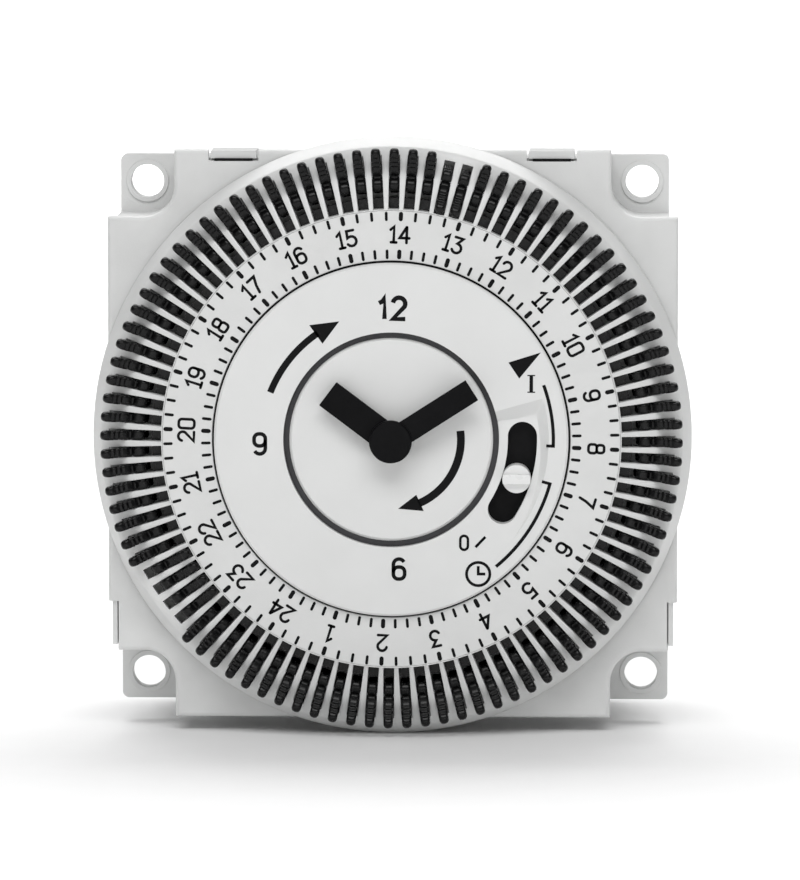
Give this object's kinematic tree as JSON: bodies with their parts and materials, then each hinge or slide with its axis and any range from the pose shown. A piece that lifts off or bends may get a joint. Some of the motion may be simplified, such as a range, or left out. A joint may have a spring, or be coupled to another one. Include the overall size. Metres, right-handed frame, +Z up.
{
  "type": "programmable timer",
  "caption": "Panel-mounted mechanical day timer: round segment dial with rocking tappets, clock hands and an override slide on a notched square body with spade terminals.",
  "frame": {"origin": "centre of the square of four mounting holes, on the back plane of the ears", "axes": "+Z up, the dial faces -Y, +X to the right as seen from the front"},
  "size_m": [0.072, 0.0503, 0.072],
  "materials": {
    "housing_grey": "light grey moulded thermoplastic, fine spark texture",
    "frame_grey": "light grey moulded thermoplastic, satin",
    "dial_grey": "light grey moulded plastic with black print",
    "face_white": "off-white moulded plastic with black print",
    "tappet_black": "black acetal, satin",
    "hand_black": "black moulded plastic, satin",
    "slide_black": "black acetal",
    "knob_white": "white moulded plastic",
    "movement_plastic": "natural thermoplastic",
    "gear_plastic": "natural acetal",
    "lever_plastic": "natural acetal",
    "switch_plastic": "dark heat-resistant thermoplastic",
    "component_black": "moulded component case",
    "board_green": "glass-fibre circuit board",
    "copper_wire": "enamelled copper wire",
    "spring_steel": "drawn spring wire and strip",
    "steel_part": "plated steel",
    "magnet": "sintered magnet",
    "tinned_brass": "tinned brass strip",
    "contact_bronze": "phosphor bronze strip",
    "contact_silver": "silver alloy"
  },
  "bodies": {
    "housing": {"rear_housing": "housing_grey", "front_frame": "frame_grey", "face_plate": "face_white", "hand_dish": "face_white", "detent_spring": "spring_steel", "bearing_plate": "movement_plastic", "rear_plate": "movement_plastic", "plate_pillars": "steel_part", "plate_screws": "steel_part", "motor_stator": "steel_part", "coil_core": "steel_part", "coil_bobbin": "movement_plastic", "coil_winding": "copper_wire", "circuit_board": "board_green", "clock_chip": "component_black", "quartz_crystal": "steel_part", "film_capacitor": "component_black", "smoothing_capacitor": "component_black", "reserve_battery": "steel_part", "supply_terminals": "tinned_brass", "switch_base": "switch_plastic", "lever_pin": "steel_part", "closed_contact": "tinned_brass", "open_contact": "tinned_brass", "common_terminal": "tinned_brass"},
    "dial": {"dial_cap": "dial_grey", "number_ring": "dial_grey", "dial_base": "dial_grey", "tappet_pivot_ring": "spring_steel", "tappet_carrier": "tappet_black", "out_tappets": "tappet_black"},
    "minute": {"minute_arbor": "gear_plastic", "clutch_spring": "spring_steel", "minute_hand": "hand_black"},
    "hour": {"hour_wheel": "gear_plastic", "hour_hand": "hand_black"},
    "motion": {"motion_wheel": "gear_plastic"},
    "dial_drive": {"dial_drive_gear": "gear_plastic"},
    "centre": {"centre_wheel": "gear_plastic"},
    "third": {"third_wheel": "gear_plastic"},
    "rotor": {"rotor_pinion": "gear_plastic", "rotor_magnet": "magnet"},
    "override": {"override_slide": "slide_black", "override_knob": "knob_white"},
    "lever": {"trip_lever": "lever_plastic"},
    "blade": {"contact_blade": "contact_bronze", "blade_contact": "contact_silver"},
    "tappet_in_03": {"tappet_in_03": "tappet_black"},
    "tappet_in_04": {"tappet_in_04": "tappet_black"},
    "tappet_in_61": {"tappet_in_61": "tappet_black"},
    "tappet_in_62": {"tappet_in_62": "tappet_black"},
    "tappet_in_63": {"tappet_in_63": "tappet_black"},
    "tappet_in_64": {"tappet_in_64": "tappet_black"},
    "tappet_out_01": {"tappet_out_01": "tappet_black"},
    "tappet_out_02": {"tappet_out_02": "tappet_black"},
    "tappet_out_05": {"tappet_out_05": "tappet_black"},
    "tappet_out_06": {"tappet_out_06": "tappet_black"},
    "tappet_out_60": {"tappet_out_60": "tappet_black"},
    "tappet_out_65": {"tappet_out_65": "tappet_black"}
  },
  "joints": [
    {"name": "dial_turn", "type": "hinge", "parent": "housing", "child": "dial", "pos_m": [0, 0, 0], "axis": [0, 1, 0], "continuous": true},
    {"name": "minute_turn", "type": "hinge", "parent": "housing", "child": "minute", "pos_m": [0, 0, 0], "axis": [0, 1, 0], "continuous": true},
    {"name": "hour_turn", "type": "hinge", "parent": "housing", "child": "hour", "pos_m": [0, 0, 0], "axis": [0, 1, 0], "continuous": true},
    {"name": "motion_turn", "type": "hinge", "parent": "housing", "child": "motion", "pos_m": [-0.01045, 0, -0.00591], "axis": [0, 1, 0], "continuous": true},
    {"name": "dial_drive_turn", "type": "hinge", "parent": "housing", "child": "dial_drive", "pos_m": [-0.01644, 0, -0.00599], "axis": [0, 1, 0], "continuous": true},
    {"name": "centre_wheel_turn", "type": "hinge", "parent": "housing", "child": "centre", "pos_m": [0, 0, 0], "axis": [0, 1, 0], "continuous": true},
    {"name": "third_wheel_turn", "type": "hinge", "parent": "housing", "child": "third", "pos_m": [-0.00883, 0, 0.0051], "axis": [0, 1, 0], "continuous": true},
    {"name": "rotor_turn", "type": "hinge", "parent": "housing", "child": "rotor", "pos_m": [-0.01663, 0, 0.0096], "axis": [0, 1, 0], "continuous": true},
    {"name": "override_move", "type": "hinge", "parent": "housing", "child": "override", "pos_m": [0, 0, 0], "axis": [0, 1, 0], "range_deg": [-18.5, 14.9]},
    {"name": "trip_lever_rock", "type": "hinge", "parent": "housing", "child": "lever", "pos_m": [0.02645, -0.00585, -0.01], "axis": [-1, 0, 0], "range_deg": [0, 2.5], "stiffness_Nm_per_rad": 0.1, "springref_deg": -2.86},
    {"name": "blade_flex", "type": "hinge", "parent": "housing", "child": "blade", "pos_m": [0.0265, -0.00245, -0.01], "axis": [-1, 0, 0], "range_deg": [0, 2.5]},
    {"name": "tappet_out_01_rock", "type": "hinge", "parent": "dial", "child": "tappet_out_01", "pos_m": [0.00238, -0.015, 0.03116], "axis": [0.9971, 0, -0.0763], "range_deg": [0, 96]},
    {"name": "tappet_out_02_rock", "type": "hinge", "parent": "dial", "child": "tappet_out_02", "pos_m": [0.00442, -0.015, 0.03094], "axis": [0.99, 0, -0.1413], "range_deg": [0, 96]},
    {"name": "tappet_in_03_rock", "type": "hinge", "parent": "dial", "child": "tappet_in_03", "pos_m": [0.00643, -0.015, 0.03058], "axis": [0.9786, 0, -0.2058], "range_deg": [-96, 0]},
    {"name": "tappet_in_04_rock", "type": "hinge", "parent": "dial", "child": "tappet_in_04", "pos_m": [0.00842, -0.015, 0.0301], "axis": [0.963, 0, -0.2693], "range_deg": [-96, 0]},
    {"name": "tappet_out_05_rock", "type": "hinge", "parent": "dial", "child": "tappet_out_05", "pos_m": [0.01037, -0.015, 0.02948], "axis": [0.9434, 0, -0.3317], "range_deg": [0, 96]},
    {"name": "tappet_out_06_rock", "type": "hinge", "parent": "dial", "child": "tappet_out_06", "pos_m": [0.01227, -0.015, 0.02874], "axis": [0.9197, 0, -0.3927], "range_deg": [0, 96]},
    {"name": "tappet_out_60_rock", "type": "hinge", "parent": "dial", "child": "tappet_out_60", "pos_m": [-0.02234, -0.015, -0.02185], "axis": [-0.6994, 0, 0.7148], "range_deg": [0, 96]},
    {"name": "tappet_in_61_rock", "type": "hinge", "parent": "dial", "child": "tappet_in_61", "pos_m": [-0.02372, -0.015, -0.02035], "axis": [-0.6511, 0, 0.759], "range_deg": [-96, 0]},
    {"name": "tappet_in_62_rock", "type": "hinge", "parent": "dial", "child": "tappet_in_62", "pos_m": [-0.025, -0.015, -0.01875], "axis": [-0.6001, 0, 0.7999], "range_deg": [-96, 0]},
    {"name": "tappet_in_63_rock", "type": "hinge", "parent": "dial", "child": "tappet_in_63", "pos_m": [-0.02617, -0.015, -0.01708], "axis": [-0.5465, 0, 0.8375], "range_deg": [-96, 0]},
    {"name": "tappet_in_64_rock", "type": "hinge", "parent": "dial", "child": "tappet_in_64", "pos_m": [-0.02723, -0.015, -0.01533], "axis": [-0.4905, 0, 0.8714], "range_deg": [-96, 0]},
    {"name": "tappet_out_65_rock", "type": "hinge", "parent": "dial", "child": "tappet_out_65", "pos_m": [-0.02818, -0.015, -0.01351], "axis": [-0.4325, 0, 0.9016], "range_deg": [0, 96]}
  ],
  "couplings": [
    {"joint": "minute_turn", "follows": "dial_turn", "ratio": 24},
    {"joint": "hour_turn", "follows": "dial_turn", "ratio": 2},
    {"joint": "motion_turn", "follows": "dial_turn", "ratio": -6},
    {"joint": "dial_drive_turn", "follows": "dial_turn", "ratio": 6},
    {"joint": "third_wheel_turn", "follows": "centre_wheel_turn", "ratio": -7.5},
    {"joint": "rotor_turn", "follows": "centre_wheel_turn", "ratio": 60},
    {"joint": "blade_flex", "follows": "trip_lever_rock", "ratio": 1}
  ]
}
